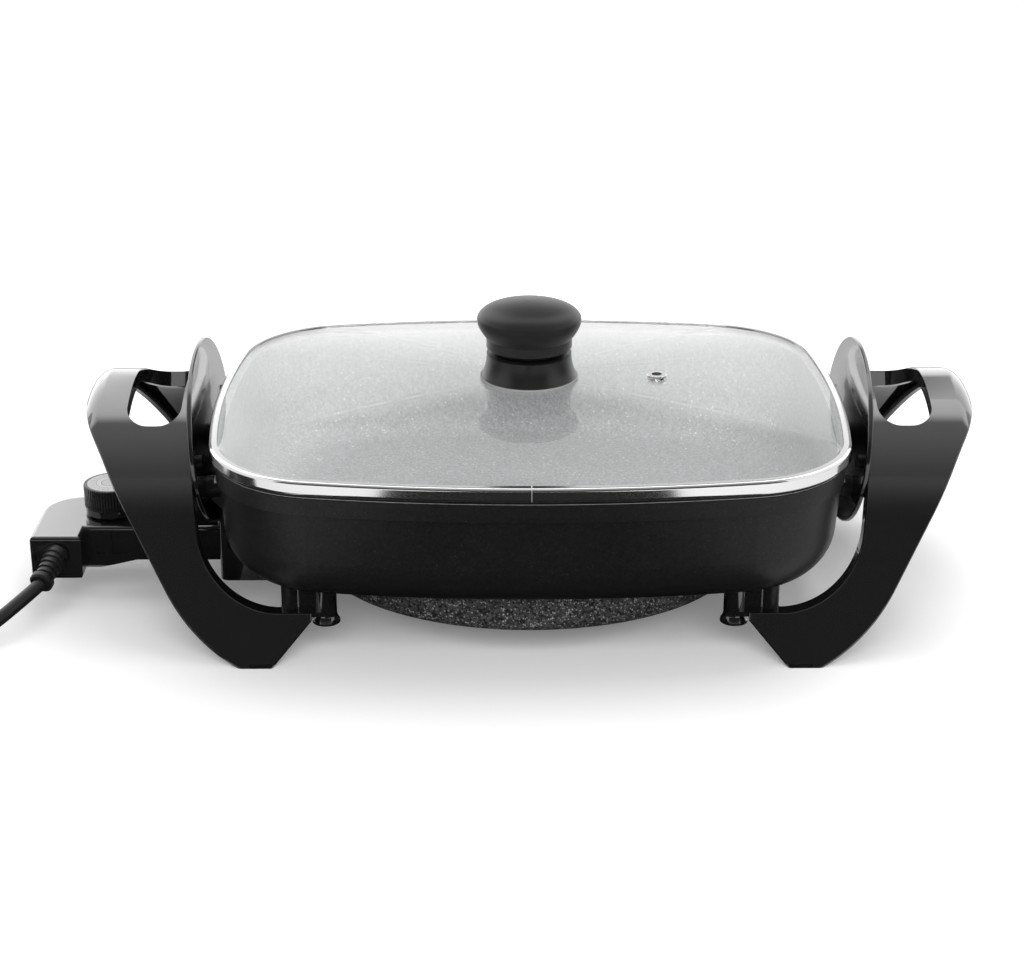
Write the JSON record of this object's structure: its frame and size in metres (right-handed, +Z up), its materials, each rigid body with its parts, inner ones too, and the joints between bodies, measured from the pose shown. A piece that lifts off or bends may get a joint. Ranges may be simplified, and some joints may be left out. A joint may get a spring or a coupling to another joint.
{
  "type": "electric skillet",
  "caption": "Free-standing electric frying pan on arch handles that are also its feet, with a lift-off domed glass lid and a pull-off thermostat probe on a mains cord",
  "frame": {"origin": "on the table, under the middle of the skillet with its probe in place, the free cord left out", "axes": "+X runs along the skillet away from the probe, +Y to the back, +Z up"},
  "size_m": [0.6945, 0.2986, 0.1806],
  "materials": {
    "pan_coating": "cast aluminium with a dark speckled non-stick coating, satin",
    "heater_casting": "cast aluminium, hammered dark silver coating",
    "handle_plastic": "glossy",
    "guard_plastic": "satin-gloss",
    "knob_plastic": "glossy",
    "steel": "satin",
    "rim_steel": "polished",
    "glass": "clear, polished",
    "white_silicone": "matt",
    "element_steel": "matt",
    "ceramic": "glazed",
    "probe_black": "glossy",
    "black_steel": "satin",
    "switch_plastic": "matt",
    "dial_plastic": "glossy",
    "dial_silver": "satin",
    "cord_rubber": "satin",
    "brass": "polished"
  },
  "bodies": {
    "base": {"pan": "pan_coating", "heater_plate": "heater_casting", "heating_element": "element_steel", "terminal_pins": "steel", "terminal_insulators": "ceramic", "terminal_shroud": "handle_plastic", "handle_left": "handle_plastic", "handle_right": "handle_plastic", "heat_guard_left": "guard_plastic", "heat_guard_right": "guard_plastic", "guard_bolts": "black_steel", "guard_screws": "black_steel", "handle_screws": "steel"},
    "lid": {"lid_glass": "glass", "lid_rim": "rim_steel", "vent_eyelet": "steel", "knob": "knob_plastic", "knob_collar": "knob_plastic", "knob_seal": "white_silicone", "knob_inner_seal": "white_silicone", "knob_washer": "steel", "knob_screw": "steel"},
    "probe": {"probe_base": "probe_black", "probe_cover": "probe_black", "dial_collar": "probe_black", "sensor_stem": "steel", "probe_contacts": "brass", "thermostat_switch": "switch_plastic", "probe_screws": "steel", "strain_relief": "cord_rubber", "cord_lead": "cord_rubber", "cord_coil": "cord_rubber", "cord_tail": "cord_rubber", "plug_body": "cord_rubber", "plug_pins": "brass"},
    "dial": {"dial_knob": "dial_plastic", "dial_face": "dial_silver", "dial_shaft": "steel"}
  },
  "joints": [
    {"name": "lid_lift", "type": "slide", "parent": "base", "child": "lid", "axis": [0, 0, 1], "range_m": [0, 0.12]},
    {"name": "probe_pull", "type": "slide", "parent": "base", "child": "probe", "axis": [-1, 0, 0], "range_m": [0, 0.075]},
    {"name": "dial_turn", "type": "hinge", "parent": "probe", "child": "dial", "pos_m": [-0.23485, 0, 0.06], "axis": [0, 0, -1], "range_deg": [0, 270]}
  ]
}
